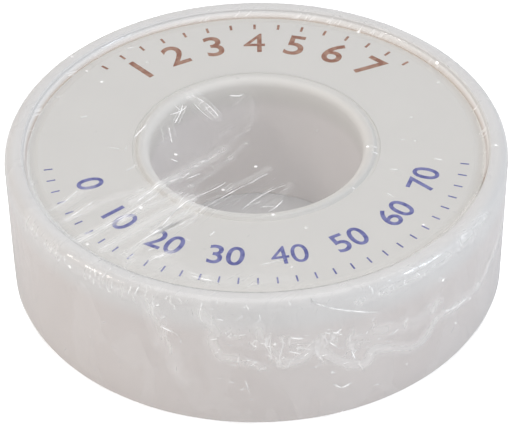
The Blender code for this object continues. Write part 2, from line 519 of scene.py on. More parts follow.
shell_plastic = white_plastic(
    "shell_plastic", (0.76, 0.75, 0.735), (0.715, 0.67, 0.645),
    shell_radius - 0.7 * MM, shell_radius - 1.3 * MM, floor_top, rim_top - 0.5 * MM)
# the spool's second colour is lighter: painted light on the hub tube in the bore
spool_plastic = white_plastic(
    "spool_plastic", (0.735, 0.722, 0.69), (0.875, 0.845, 0.83),
    hub_radius - 0.6 * MM, hub_radius - 0.1 * MM, floor_top, face_top - 0.55 * MM)
print("plastics:", shell_plastic.name, spool_plastic.name)

# %% [markdown]
# ## The shell
#
# The cup is one moulding: a wall, a floor with a hole for the hub, and a rim that turns inwards
# and is rounded on the outside. Its outline is turned first with sharp corners, and each ring
# edge is then beveled by its own radius, as a toolmaker would note it on the drawing.


# %% Turn the shell
def make_shell():
    """Wall, rim and floor of the cup."""
    hole_radius = spigot_radius + SEAT_GAP
    rim_underside = rim_top - RIM_DEPTH
    shell = turn_outline("shell_moulding", [
        (rim_radius, rim_top),
        (shell_radius, rim_top),
        (shell_radius, shell_base),
        (hole_radius, shell_base),
        (hole_radius, floor_top),
        (wall_inside, floor_top),
        (wall_inside, rim_underside),
        (rim_radius, rim_underside),
    ])
    round_ring(shell, shell_radius, rim_top, RIM_ROUND, 8)
    round_ring(shell, shell_radius, shell_base, 0.8 * MM)
    round_ring(shell, rim_radius, rim_top, 0.4 * MM)
    round_ring(shell, hole_radius, shell_base, 0.2 * MM, 3)
    round_ring(shell, wall_inside, floor_top, 0.5 * MM)
    smooth(shell)
    shell.data.materials.append(shell_plastic)
    seat(shell, "shell", "shell")
    return shell


shell = make_shell()

# %% [markdown]
# ## The spool
#
# Face disc, collar and hub tube are one moulding as well. The edge of the disc falls away in a
# shallow band before it meets the shell. That band and the collar's foot are the two thin rings
# that show on the face.


# %% Turn the spool
def make_spool():
    """Face disc with its collar, and the tube that goes down through the floor."""
    foot_radius = crest_radius + COLLAR_SLOPE
    hub_seat = floor_top + SEAT_GAP
    spool = turn_outline("spool_moulding", [
        (BORE_RADIUS, collar_top),
        (crest_radius, collar_top),
        (crest_radius + 0.35 * MM, face_top - FOOT_GROOVE),
        (foot_radius - 0.1 * MM, face_top - FOOT_GROOVE),
        (foot_radius, face_top),
        (face_radius, face_top),
        (disc_radius, face_top - BAND_DROP),
        (disc_radius, disc_underside),
        (hub_radius, disc_underside),
        (hub_radius, hub_seat),
        (spigot_radius, hub_seat),
        (spigot_radius, UNDERSIDE_HEIGHT),
        (BORE_RADIUS, UNDERSIDE_HEIGHT),
    ])
    round_ring(spool, BORE_RADIUS, collar_top, LIP_ROUND, 8)
    round_ring(spool, crest_radius, collar_top, 0.2 * MM, 3)
    round_ring(spool, disc_radius, face_top - BAND_DROP, 0.15 * MM, 3)
    smooth(spool, 12.0)
    spool.data.materials.append(spool_plastic)
    seat(spool, "spool", "spool")
    return spool


spool = make_spool()

# %% [markdown]
# ## The printed dial
#
# The face carries a plain dial in brown and blue ink: ticks round the edge, and numbers. Pad
# printing leaves a film of ink a few hundredths of a millimetre high, so each mark is a very thin
# solid of its own. A number is a text object that is turned into a mesh before it is put in its
# place.

# %% Ink, laid unevenly as a pad leaves it
INK_HEIGHT = 0.02 * MM
ink_middle = face_top + INK_HEIGHT / 2


def ink(name, full, thin):
    """Matt ink with small places where it lies thinner and the plastic shows."""
    material, shader = new_material(name)
    nodes, links = material.node_tree.nodes, material.node_tree.links
    cloud = add_clouds(material, 900.0, 0.2)
    worn = between(material, cloud.outputs["Mask"], 0.38, 0.6, 0.0, 1.0)
    blend = blend_colours(material, worn.outputs[0], full, thin)
    links.new(blend.outputs[2], shader.inputs["Base Color"])
    shader.inputs["Roughness"].default_value = 0.55
    return material


brown_ink = ink("brown_ink", (0.30, 0.125, 0.075), (0.42, 0.24, 0.17))
blue_ink = ink("blue_ink", (0.095, 0.105, 0.34), (0.20, 0.21, 0.46))


# %% Print ticks and numbers
TICK_FROM = 30.6 * MM
TICK_TO = 31.9 * MM


def printed_number(figure, size, radius, degrees, heavy, upright_from):
    """One number on the face, its foot or its head towards the middle."""
    bpy.ops.object.select_all(action="DESELECT")
    bpy.ops.object.text_add(location=(0.0, 0.0, 0.0))
    number = bpy.context.object
    number.data.body = figure
    number.data.size = size
    number.data.align_x = "CENTER"
    number.data.align_y = "CENTER"
    # a heavier outline would close the hole of a 4
    number.data.offset = 0.0 if "4" in figure else heavy
    number.data.extrude = INK_HEIGHT / 2
    bpy.ops.object.convert(target="MESH")
    turn = math.radians(degrees - 90 if upright_from == "foot" else degrees + 90)
    number.rotation_euler = (0.0, 0.0, turn)
    angle = math.radians(degrees)
    number.location = (radius * math.cos(angle), radius * math.sin(angle), ink_middle)
    bpy.ops.object.transform_apply(location=True, rotation=True, scale=True)
    return number


def printed_tick(inner, outer, width, degrees):
    """One radial stroke on the face."""
    bpy.ops.object.select_all(action="DESELECT")
    angle = math.radians(degrees)
    middle = (inner + outer) / 2
    place = (middle * math.cos(angle), middle * math.sin(angle), ink_middle)
    bpy.ops.mesh.primitive_cube_add(
        size=1.0, location=place, rotation=(0.0, 0.0, angle),
        scale=(outer - inner, width, INK_HEIGHT))
    tick = bpy.context.object
    bpy.ops.object.transform_apply(location=True, rotation=True, scale=True)
    return tick


def joined(parts, name):
    """Join parts into one object."""
    bpy.ops.object.select_all(action="DESELECT")
    for part in parts:
        part.select_set(True)
    bpy.context.view_layer.objects.active = parts[0]
    bpy.ops.object.join()
    whole = bpy.context.object
    whole.name = name
    start_edit(whole)
    bpy.ops.mesh.select_all(action="SELECT")
    bpy.ops.mesh.remove_doubles(threshold=0.0005 * MM)
    bpy.ops.mesh.normals_make_consistent(inside=False)
    end_edit()
    return whole


def make_print():
    """A bold brown scale round the back, and a blue one round the front."""
    brown = [
        printed_number(str(step), 7.4 * MM, 26.4 * MM, 146.0 - 14.0 * step, 0.08 * MM, "foot")
        for step in range(1, 8)
    ]
    brown += [
        printed_tick(TICK_FROM, TICK_TO, 0.4 * MM, 146.0 - 7.0 * step)
        for step in range(1, 16)
    ]
    brown_print = joined(brown, "brown_print")
    brown_print.data.materials.append(brown_ink)
    seat(brown_print, "spool")
    blue = [
        printed_number(str(10 * step), 5.6 * MM, 26.2 * MM, 200.0 + 20.0 * step, 0.055 * MM, "head")
        for step in range(8)
    ]
    blue += [
        printed_tick(TICK_FROM, TICK_TO, 0.25 * MM, 190.0 + 5.0 * step)
        for step in range(33)
    ]
    blue_print = joined(blue, "blue_print")
    blue_print.data.materials.append(blue_ink)
    seat(blue_print, "spool")


make_print()

# %% [markdown]
# ## The braid
#
# Little of the braid shows: a thread of copper in the gap round the face disc, and a warm tint
# through the wall. It is wound in six lanes and eight layers, so the roll is turned with a
# groove between lanes on the outside and between layers on its ends.

# %% Turn the roll
LANES = 6
LAYERS = 8
ROLL_SIDES = 180


def braid_copper():
    """Woven copper: strands cross at an angle, with a painted highlight where they rise and dark
    between, and a painted glow.
    """
    material, shader = new_material("braid_copper")
    nodes, links = material.node_tree.nodes, material.node_tree.links
    place = nodes.new("ShaderNodeTexCoord")
    strand = nodes.new("ShaderNodeTexWave")
    strand.inputs["Scale"].default_value = 900.0
    strand.inputs["Distortion"].default_value = 4.0
    strand.inputs["Detail Scale"].default_value = 300.0
    links.new(place.outputs["Object"], strand.inputs["Vector"])
    blend = blend_colours(material, strand.outputs["Fac"], (0.30, 0.12, 0.06), (0.72, 0.36, 0.22))
    links.new(blend.outputs[2], shader.inputs["Base Color"])
    shader.inputs["Metallic"].default_value = 0.9
    shader.inputs["Roughness"].default_value = 0.38
    # painted light: the braid glows in its own copper colour though it is no lamp
    shader.inputs["Emission Color"].default_value = (*PAINTED_COPPER_LIGHT, 1.0)
    shader.inputs["Emission Strength"].default_value = 0.5
    return material


def make_roll():
    """The wound braid as one roll with its bore."""
    inner, outer = hub_radius + SEAT_GAP, roll_high.x
    low, high = roll_low.z, roll_high.z
    groove = 0.35 * MM
    lane = (high - low) / LANES
    layer = (outer - inner) / LAYERS
    outline = [(inner, high)]
    for step in range(LAYERS):
        start = inner + step * layer
        outline += [(start + 0.12 * layer, high), (start + 0.88 * layer, high)]
        outline.append((start + layer, high - groove))
    outline[-1] = (outer, high - groove)
    for step in range(LANES):
        start = high - step * lane
        outline += [(outer, start - 0.12 * lane), (outer, start - 0.88 * lane)]
        outline.append((outer - groove, start - lane))
    outline[-1] = (outer - groove, low)
    outline.append((inner, low))
    roll = turn_outline("braid_winding", outline, ROLL_SIDES)
    smooth(roll, 25.0)
    roll.data.materials.append(braid_copper())
    seat(roll, "braid", "braid_roll")
    return roll


roll = make_roll()

# %% [markdown]
# ## The shrink film
#
# Shrink film starts as a loose bag and is drawn tight by hot air. It bridges hollows, lies close
# on ridges, and puckers where it had too much width. The sheet is turned like the mouldings but
# with many rings, so that there are enough vertices to move for the wrinkles.

# %% The line that the film follows
FACE_STEP = 0.8 * MM
WALL_STEP = 0.55 * MM
UNDER_STEP = 3.0 * MM
FILM_SIDES = 480
FILM_LIFT = 0.06 * MM
FILM_GAUGE = 0.05 * MM
MOUTH_RADIUS = 24.5 * MM
# where the film sags over the bore, as radius and height in millimetres
BORE_SAG = ((0.0, 21.4), (8.0, 21.45), (14.0, 22.2))


def film_line():
    """Radius and height of the film from the middle of the bore to its mouth under the floor."""
    lift = FILM_LIFT
    outside = shell_radius + lift
    top = rim_top + lift
    corners = [(radius * MM, height * MM) for radius, height in BORE_SAG]
    corners += [
        (BORE_RADIUS + 0.6 * MM, collar_top + lift), (crest_radius, collar_top + lift),
        (crest_radius + 1.2 * MM, face_top + lift), (disc_radius - 0.6 * MM, face_top + lift),
        (rim_radius - 0.1 * MM, face_top + 0.5 * MM), (rim_radius + 0.3 * MM, top),
        (shell_radius - RIM_ROUND, top),
    ]
    for step in range(1, 9):
        turn = math.radians(90 * step / 8)
        reach = RIM_ROUND + lift
        corners.append((
            shell_radius - RIM_ROUND + reach * math.sin(turn),
            rim_top - RIM_ROUND + reach * math.cos(turn)))
    corners += [
        (outside, shell_base + 0.6 * MM), (outside - 0.25 * MM, 0.12 * MM),
        (outside - 1.2 * MM, UNDERSIDE_HEIGHT), (MOUTH_RADIUS, UNDERSIDE_HEIGHT),
    ]
    return corners


def step_between(start, end):
    """Fine steps on the wall, wider ones on the face, and the widest under the floor."""
    if max(start[1], end[1]) < 0.5 * MM:
        return UNDER_STEP
    if min(start[0], end[0]) > shell_radius - 0.5 * MM:
        return WALL_STEP
    return FACE_STEP


def even_steps(corners):
    """Points at even steps along each straight part of a line."""
    line = [corners[0]]
    for start, end in zip(corners, corners[1:]):
        length = math.dist(start, end)
        step = step_between(start, end)
        count = max(1, round(length / step))
        for index in range(1, count + 1):
            share = index / count
            line.append((
                start[0] + (end[0] - start[0]) * share,
                start[1] + (end[1] - start[1]) * share))
    return line


film_profile = even_steps(film_line())[1:]
print("film rings:", len(film_profile))

# %% [markdown]
# ## Finish of the film
#
# Clear film is seen by what it mirrors, and by the places where it has gone milky. How milky it is
# comes with the mesh, as an attribute called haze, so that shape and finish agree. The crinkles
# are a node group: slanting streaks that show most where the film is a little milky, a few specks,
# and patches on the rim and the wall where the film clings to the plastic. They also give the
# mirror a slight unevenness.

# %% A node group for crinkles
def crinkle_group():
    """Slanting streaks, specks, patches where the film clings, and a fine relief."""
    group = bpy.data.node_groups.new("film_crinkle", "ShaderNodeTree")
    group.interface.new_socket("Streak Size", in_out="INPUT", socket_type="NodeSocketFloat")
    group.interface.new_socket("Speck Size", in_out="INPUT", socket_type="NodeSocketFloat")
    group.interface.new_socket("Streaks", in_out="OUTPUT", socket_type="NodeSocketFloat")
    group.interface.new_socket("Specks", in_out="OUTPUT", socket_type="NodeSocketFloat")
    group.interface.new_socket("Patches", in_out="OUTPUT", socket_type="NodeSocketFloat")
    group.interface.new_socket("Normal", in_out="OUTPUT", socket_type="NodeSocketVector")
    nodes, links = group.nodes, group.links
    way_in = nodes.new("NodeGroupInput")
    way_out = nodes.new("NodeGroupOutput")
    place = nodes.new("ShaderNodeTexCoord")
    slant = nodes.new("ShaderNodeMapping")
    slant.vector_type = "TEXTURE"
    slant.inputs["Rotation"].default_value = (0.0, 0.0, math.radians(42.0))
    slant.inputs["Scale"].default_value = (9.0, 1.0, 5.0)
    streak = nodes.new("ShaderNodeTexNoise")
    streak.inputs["Detail"].default_value = 3.0
    level = nodes.new("ShaderNodeMath")
    level.operation = "SUBTRACT"
    level.inputs[1].default_value = 0.5
    size = nodes.new("ShaderNodeMath")
    size.operation = "ABSOLUTE"
    line = nodes.new("ShaderNodeMapRange")
    line.interpolation_type = "SMOOTHSTEP"
    line.inputs["From Min"].default_value = 0.035
    line.inputs["From Max"].default_value = 0.0
    broken = nodes.new("ShaderNodeTexNoise")
    broken.inputs["Scale"].default_value = 260.0
    part = nodes.new("ShaderNodeMapRange")
    part.inputs["From Min"].default_value = 0.46
    part.inputs["From Max"].default_value = 0.62
    streaks = nodes.new("ShaderNodeMath")
    streaks.operation = "MULTIPLY"
    links.new(place.outputs["Object"], slant.inputs["Vector"])
    links.new(slant.outputs["Vector"], streak.inputs["Vector"])
    links.new(way_in.outputs["Streak Size"], streak.inputs["Scale"])
    links.new(streak.outputs["Fac"], level.inputs[0])
    links.new(level.outputs[0], size.inputs[0])
    links.new(size.outputs[0], line.inputs["Value"])
    links.new(place.outputs["Object"], broken.inputs["Vector"])
    links.new(broken.outputs["Fac"], part.inputs["Value"])
    links.new(line.outputs[0], streaks.inputs[0])
    links.new(part.outputs[0], streaks.inputs[1])
    cell = nodes.new("ShaderNodeTexVoronoi")
    links.new(place.outputs["Object"], cell.inputs["Vector"])
    links.new(way_in.outputs["Speck Size"], cell.inputs["Scale"])
    dot = nodes.new("ShaderNodeMapRange")
    dot.inputs["From Min"].default_value = 0.16
    dot.inputs["From Max"].default_value = 0.06
    links.new(cell.outputs["Distance"], dot.inputs["Value"])
    pick_one = nodes.new("ShaderNodeSeparateColor")
    links.new(cell.outputs["Color"], pick_one.inputs[0])
    few = nodes.new("ShaderNodeMapRange")
    few.inputs["From Min"].default_value = 0.82
    few.inputs["From Max"].default_value = 0.95
    links.new(pick_one.outputs[0], few.inputs["Value"])
    specks = nodes.new("ShaderNodeMath")
    specks.operation = "MULTIPLY"
    links.new(dot.outputs[0], specks.inputs[0])
    links.new(few.outputs[0], specks.inputs[1])
    stretch = nodes.new("ShaderNodeMapping")
    stretch.inputs["Scale"].default_value = (1.0, 1.0, 0.45)
    links.new(place.outputs["Object"], stretch.inputs["Vector"])
    cling = nodes.new("ShaderNodeTexNoise")
    cling.inputs["Scale"].default_value = 150.0
    cling.inputs["Detail"].default_value = 2.0
    cling.inputs["Distortion"].default_value = 0.6
    links.new(stretch.outputs["Vector"], cling.inputs["Vector"])
    patches = nodes.new("ShaderNodeMapRange")
    patches.interpolation_type = "SMOOTHSTEP"
    patches.inputs["From Min"].default_value = 0.49
    patches.inputs["From Max"].default_value = 0.55
    links.new(cling.outputs["Fac"], patches.inputs["Value"])
    flat = nodes.new("ShaderNodeVectorMath")
    flat.operation = "MULTIPLY"
    flat.inputs[1].default_value = (1.0, 1.0, 0.0)
    links.new(place.outputs["Object"], flat.inputs[0])
    away = nodes.new("ShaderNodeVectorMath")
    away.operation = "LENGTH"
    links.new(flat.outputs[0], away.inputs[0])
    outside = nodes.new("ShaderNodeMapRange")
    outside.inputs["From Min"].default_value = disc_radius
    outside.inputs["From Max"].default_value = rim_radius + 1.0 * MM
    links.new(away.outputs["Value"], outside.inputs["Value"])
    on_wall = nodes.new("ShaderNodeMath")
    on_wall.operation = "MULTIPLY"
    links.new(patches.outputs[0], on_wall.inputs[0])
    links.new(outside.outputs[0], on_wall.inputs[1])
    links.new(on_wall.outputs[0], way_out.inputs["Patches"])
    grain = nodes.new("ShaderNodeTexNoise")
    grain.inputs["Scale"].default_value = 900.0
    grain.inputs["Detail"].default_value = 2.0
    links.new(place.outputs["Object"], grain.inputs["Vector"])
    height = nodes.new("ShaderNodeMath")
    height.operation = "MULTIPLY_ADD"
    height.inputs[1].default_value = 0.5
    links.new(grain.outputs["Fac"], height.inputs[0])
    links.new(streaks.outputs[0], height.inputs[2])
    relief = nodes.new("ShaderNodeBump")
    relief.inputs["Distance"].default_value = 0.1 * MM
    relief.inputs["Strength"].default_value = 0.04
    links.new(height.outputs[0], relief.inputs["Height"])
    links.new(streaks.outputs[0], way_out.inputs["Streaks"])
    links.new(specks.outputs[0], way_out.inputs["Specks"])
    links.new(relief.outputs["Normal"], way_out.inputs["Normal"])
    return group


film_crinkle = crinkle_group()


# %% Clear film
FILM_MIRROR = 0.05
# a speck catches the lamps from every side, so it is given a light of its own
SPECK_GLOW = (0.9, 0.9, 0.9)


def haze_where_seen(material):
    """The haze, a mask for the film's outer side, and the same mask for camera rays alone."""
    nodes = material.node_tree.nodes
    haze = nodes.new("ShaderNodeAttribute")
    haze.attribute_name = "haze"
    side = nodes.new("ShaderNodeNewGeometry")
    outer = calculate(material, "SUBTRACT", 1.0, side.outputs["Backfacing"])
    # milky film spreads light and hardly stops it, so what lies below it isn't shaded
    path = nodes.new("ShaderNodeLightPath")
    seen = calculate(material, "MULTIPLY", outer, path.outputs["Is Camera Ray"])
    return haze.outputs["Fac"], outer, seen


def clear_film_material():
    """Mirrors a little, more at a low angle, and is milky where it is creased."""
    material, milk = new_material("clear_film")
    nodes, links = material.node_tree.nodes, material.node_tree.links
    milk.inputs["Base Color"].default_value = (0.94, 0.935, 0.915, 1.0)
    milk.inputs["Roughness"].default_value = 0.35
    haze, outer, seen = haze_where_seen(material)
    crinkle = nodes.new("ShaderNodeGroup")
    crinkle.node_tree = film_crinkle
    crinkle.inputs["Streak Size"].default_value = 520.0
    crinkle.inputs["Speck Size"].default_value = 420.0
    clear = calculate(material, "SUBTRACT", 1.0, haze)
    half_milky = calculate(material, "MULTIPLY", haze, calculate(material, "POWER", clear, 2.0))
    weight = calculate(material, "MULTIPLY", half_milky, 3.0)
    streaks = calculate(material, "MULTIPLY_ADD", crinkle.outputs["Streaks"], weight, haze)
    cloudy = calculate(material, "MULTIPLY_ADD", crinkle.outputs["Specks"], 0.5, streaks)
    cloudy = calculate(material, "MULTIPLY_ADD", crinkle.outputs["Patches"], 0.08, cloudy)
    links.new(calculate(material, "MULTIPLY", cloudy, seen), milk.inputs["Alpha"])
    sparkle = blend_colours(material, crinkle.outputs["Specks"], (0.0, 0.0, 0.0), SPECK_GLOW)
    links.new(sparkle.outputs[2], milk.inputs["Emission Color"])
    milk.inputs["Emission Strength"].default_value = 1.0
    mirror = nodes.new("ShaderNodeBsdfGlossy")
    mirror.inputs["Roughness"].default_value = 0.10
    links.new(crinkle.outputs["Normal"], mirror.inputs["Normal"])
    angle = nodes.new("ShaderNodeLayerWeight")
    angle.inputs["Blend"].default_value = 0.5
    low_angle = calculate(material, "POWER", angle.outputs["Facing"], 5.0)
    share = calculate(material, "MULTIPLY_ADD", low_angle, 1.0 - FILM_MIRROR, FILM_MIRROR)
    mix = nodes.new("ShaderNodeMixShader")
    links.new(calculate(material, "MULTIPLY", share, outer), mix.inputs[0])
    links.new(milk.outputs[0], mix.inputs[1])
    links.new(mirror.outputs[0], mix.inputs[2])
    output = next(node for node in nodes if node.type == "OUTPUT_MATERIAL")
    links.new(mix.outputs[0], output.inputs["Surface"])
    return material


def pinched_film_material():
    """Film folded on itself: milky white along the fold, with a painted glow, and clear at its
    edges.
    """
    material, milk = new_material("pinched_film")
    milk.inputs["Base Color"].default_value = (0.97, 0.97, 0.965, 1.0)
    # painted light: the creases glow a little, so that they show white from every side
    milk.inputs["Emission Color"].default_value = (1.0, 1.0, 1.0, 1.0)
    milk.inputs["Emission Strength"].default_value = 0.30
    milk.inputs["Roughness"].default_value = 0.25
    milk.inputs["Coat Weight"].default_value = 0.5
    haze, _, seen = haze_where_seen(material)
    alpha = calculate(material, "MULTIPLY", haze, seen)
    material.node_tree.links.new(alpha, milk.inputs["Alpha"])
    return material


clear_film = clear_film_material()
pinched_film = pinched_film_material()
print("film materials:", clear_film.name, pinched_film.name)


# %% [markdown]
# ## Where the film is creased
#
# No two bags shrink alike, so the creases of this one are given one by one, in millimetres. On
# the face a point is (x, y). On the wall it is degrees from the front and height. Broad swells
# move the sheet itself and turn it milky. Each has a half width, a height, a haze and a route.

# %% Broad swells
FACE_SWELLS = (
    (1.0, 0.15, 0.30, ((-13.2, -9.4), (-9.0, -4.8), (-6.6, -2.4), (-4.8, -0.2))),
    (0.6, 0.08, 0.12, ((-5.6, -0.6), (-3.2, 2.0), (-0.8, 6.4), (-0.8, 11.4))),
    (1.6, 0.00, 0.05, ((-3.0, 12.0), (-2.4, 7.0), (-5.4, 2.0), (-9.0, -2.0))),
    (0.8, 0.10, 0.26, ((-10.2, 12.0), (-8.4, 10.6), (-6.8, 8.8), (-6.0, 7.4))),
    (1.4, 0.05, 0.06, ((-13.4, 6.8), (-13.6, 3.4), (-13.2, 0.0), (-12.8, -3.4))),
    (0.5, 0.06, 0.26, ((-4.4, -10.4), (-2.4, -8.6), (0.0, -6.8), (1.8, -5.2))),
    (0.6, 0.06, 0.14, ((-9.8, -10.2), (-5.6, -5.0), (-1.6, 1.0))),
    (0.5, 0.06, 0.16, ((1.4, -15.0), (3.4, -13.0), (5.0, -9.4))),
    (0.8, 0.06, 0.45, ((-18.2, -13.4), (-15.0, -10.8), (-11.6, -7.8))),
    (0.7, 0.05, 0.26, ((-28.4, -18.4), (-22.8, -13.8), (-15.2, -9.8))),
    (0.9, 0.08, 0.34, ((-25.4, -22.4), (-16.6, -15.0), (-11.6, -12.4))),
    (1.0, 0.10, 0.42, ((-21.8, -24.2), (-14.6, -17.2), (-9.4, -13.2))),
    (0.7, 0.06, 0.36, ((-18.2, -25.4), (-12.4, -18.0), (-8.6, -15.2))),
    (0.6, 0.05, 0.26, ((-29.6, -15.2), (-26.6, -12.4), (-24.0, -9.6))),
    (0.7, 0.06, 0.50, ((-14.8, -26.2), (-12.2, -25.0))),
    (1.6, 0.05, 0.16, (
        (-24.0, -22.4), (-18.2, -26.0), (-13.6, -27.6), (-6.0, -31.0), (4.0, -31.2))),
)
# haze and half width of the ring over the gap round the disc, and of the film that bridges it
GAP_HAZE = 0.78
GAP_HALF = 0.60
BRIDGE_HAZE = 0.15
BRIDGE_HALF = 1.1
BRIDGE_SPAN = (-152.0, -42.0)
WALL_SWELLS = (
    (1.0, 0.24, 0.34, (
        (0, 19.0), (0.5, 17.0), (3, 15.0), (5, 13.0), (7, 12.6), (10, 13.4), (11.5, 14.6),
        (14, 13.2), (18, 11.0), (22, 9.6), (24, 9.8), (25, 11.6), (29, 10.8), (34, 9.2),
        (38, 9.0), (42, 11.8))),
    (1.05, 0.22, 0.30, (
        (42, 11.8), (46, 11.4), (50, 11.2), (54, 11.0), (60, 10.8), (62, 11.8), (67, 12.8),
        (74, 13.6))),
    (1.0, 0.20, 0.30, (
        (-12, 21.4), (-10, 19.4), (-9, 18.0), (-10, 16.6), (-9, 15.0), (-8, 13.6), (-5, 13.4),
        (0, 12.0))),
    (2.2, 0.05, 0.20, ((-6, 18.5), (0, 16.5), (6, 16.0), (16, 15.0), (24, 13.5))),
    (1.4, 0.06, 0.25, ((26, 15.0), (34, 13.5), (42, 14.0))),
    (1.2, 0.05, 0.22, ((-24, 21.5), (-20, 14.0), (-17, 8.0))),
    (1.0, 0.05, 0.17, ((-62, 22.6), (-52, 22.2), (-42, 21.8), (-30, 21.6), (-22, 21.4))),
    (1.0, 0.05, 0.24, ((22, 21.6), (32, 22.0), (44, 22.4), (60, 22.6))),
    (1.6, 0.04, 0.04, ((-20, 21.0), (-8, 20.4), (4, 20.6), (20, 21.0))),
)


# %% From a crease's own points to places on the film
film_heights = np.array([height for radius, height in film_profile])
film_radii = np.array([radius for radius, height in film_profile])
top_count = int(np.argmax(film_heights >= rim_top + 0.9 * FILM_LIFT)) + 1
low_count = int(np.argmax(film_radii))


def face_place(x, y):
    """The film above a point of the face, in metres from a point in millimetres."""
    x, y = x * MM, y * MM
    height = np.interp(math.hypot(x, y), film_radii[:top_count], film_heights[:top_count])
    return Vector((x, y, height))


def wall_place(degrees, height):
    """The film on the wall, or over the rim, at an angle from the front."""
    angle = math.radians(degrees)
    down = slice(top_count, None)
    radius = np.interp(-height * MM, -film_heights[down][:low_count], film_radii[down][:low_count])
    return Vector((radius * math.sin(angle), -radius * math.cos(angle), height * MM))


def smooth_route(points, step=0.4):
    """More points on a soft curve through the given ones, about a step apart in millimetres."""
    if len(points) == 1:
        return list(points)
    ends = [points[0], *points, points[-1]]
    route = []
    for before, start, stop, after in zip(ends, ends[1:], ends[2:], ends[3:]):
        count = max(1, math.ceil(math.dist(start, stop) / step))
        for index in range(count):
            t = index / count
            route.append(tuple(
                0.5 * (2 * b + (c - a) * t + (2 * a - 5 * b + 4 * c - d) * t * t
                       + (3 * b - a - 3 * c + d) * t * t * t)
                for a, b, c, d in zip(before, start, stop, after)))
    route.append(points[-1])
    return route


def swell_table():
    """Every broad swell as its places, half width, height and haze."""
    table = []
    for swells, place in ((FACE_SWELLS, face_place), (WALL_SWELLS, wall_place)):
        for half_width, height, haze, points in swells:
            line = np.array([place(*point) for point in smooth_route(points, 0.5)])
            table.append((line, half_width * MM, height * MM, haze))
    gap = (disc_radius + rim_radius) / 2 / MM
    over_gap = (GAP_HALF, GAP_HAZE, (0.0, 360.0), gap)
    bridge = (BRIDGE_HALF, BRIDGE_HAZE, BRIDGE_SPAN, gap + 0.8)
    for half_width, haze, span, ring in (over_gap, bridge):
        # one point for each side of the film, so that the haze comes out even
        turns = np.radians(np.arange(span[0], span[1], 360.0 / FILM_SIDES))
        line = [face_place(ring * math.cos(turn), ring * math.sin(turn)) for turn in turns]
        table.append((np.array(line), half_width * MM, 0.0, haze))
    return table


# %% How far the film stands off, and how milky it is
RIPPLE = 0.07 * MM
PUCKER = 0.30 * MM
# the rim's outer edge, where the puckers are, as radius and height in millimetres
PUCKER_EDGE = (36.6, 22.3)
# how far the puckers reach from that edge, across and in height
PUCKER_REACH = (1.8, 2.4)
# half the width of the stretched strip over the step from the disc up to the rim, and the height
# in millimetres from which there is such a strip
STRETCHED_HALF = 1.3
STRETCHED_FROM = 20.0
# up to this height in millimetres the film is tighter the lower it is
TIGHT_HEIGHT = 4.0
# the film isn't moved at all where it turns in under the floor, and fully from this height
TURN_IN_HEIGHT = 1.2 * MM


def swell_shape(places, table):
    """Height and haze of the broad swells at many places."""
    height = np.zeros(len(places))
    haze = np.zeros(len(places))
    for line, half_width, rise, milk in table:
        near = np.full(len(places), np.inf)
        for point in line:
            near = np.minimum(near, ((places - point) ** 2).sum(axis=1))
        bell = np.exp(-near / (half_width * half_width))
        height = np.maximum(height, rise * bell)
        haze = np.maximum(haze, milk * bell)
    return height, haze


def ripple_shape(places):
    """Small sharp-ridged ripples, and puckers across the edge of the rim in front."""
    height = np.empty(len(places))
    stretched = rim_radius / MM + 0.1
    edge_radius, edge_height = PUCKER_EDGE
    for index, (x, y, z) in enumerate(places / MM):
        angle = math.atan2(x, -y)
        radius = math.hypot(x, y)
        ridged = 1.0 - abs(noise.noise((x * 0.30, y * 0.30, z * 0.22)))
        fine = 1.0 - abs(noise.noise((x * 0.75 + 40.0, y * 0.75, z * 0.5)))
        loose = min(1.0, max(0.2, 0.35 - y / 50.0 - x / 150.0))
        rise = RIPPLE * loose * (0.7 * ridged ** 3 + 0.3 * fine ** 2)
        across = (radius - edge_radius) / PUCKER_REACH[0]
        up = (z - edge_height) / PUCKER_REACH[1]
        edge = math.exp(-across ** 2 - up ** 2)
        if edge > 0.01:
            pleat = 1.0 - abs(noise.noise((angle * 26.0, z * 0.12, 7.0)))
            where = 0.5 + 0.5 * noise.noise((angle * 2.2, 3.0, 5.0))
            in_front = min(1.0, max(0.05, 2.4 * math.cos(angle) - 0.6))
            rise += PUCKER * in_front * edge * where * pleat ** 4
        if z > STRETCHED_FROM:
            tight = math.exp(-((radius - stretched) / STRETCHED_HALF) ** 2)
            rise *= 1.0 - 0.9 * tight
        height[index] = rise * min(1.0, z / TIGHT_HEIGHT)
    return height


swells = swell_table()
print("swells:", len(swells))


# %% Turn the film and move it
def make_film():
    """The sheet as one closed skin of even gauge."""
    film = turn_outline("film_skin", film_profile, FILM_SIDES, closed=False, middle="TRIFAN")
    count = len(film.data.vertices)
    places = np.empty(count * 3, dtype=np.float32)
    normals = np.empty(count * 3, dtype=np.float32)
    film.data.vertices.foreach_get("co", places)
    film.data.vertices.foreach_get("normal", normals)
    places = places.reshape(-1, 3).astype(float)
    normals = normals.reshape(-1, 3).astype(float)
    rise, milk = swell_shape(places, swells)
    rise += ripple_shape(places)
    opening = Vector(face_place(*OPEN_GAP))
    milk *= 1.0 - 0.9 * np.exp(-((places - opening) ** 2).sum(axis=1) / OPEN_REACH ** 2)
    rise *= np.clip(places[:, 2] / TURN_IN_HEIGHT, 0.0, 1.0)
    moved = places + normals * rise[:, None]
    film.data.vertices.foreach_set("co", moved.astype(np.float32).ravel())
    haze = film.data.attributes.new("haze", "FLOAT", "POINT")
    haze.data.foreach_set("value", milk.astype(np.float32))
    film.data.update()
    wall = film.modifiers.new("gauge", "SOLIDIFY")
    wall.thickness = FILM_GAUGE
    wall.offset = 1.0
    bpy.ops.object.modifier_apply(modifier=wall.name)
    smooth(film, 60.0)
    film.data.materials.append(clear_film)
    seat(film, "film", "shrink_film")
    return film


film = make_film()

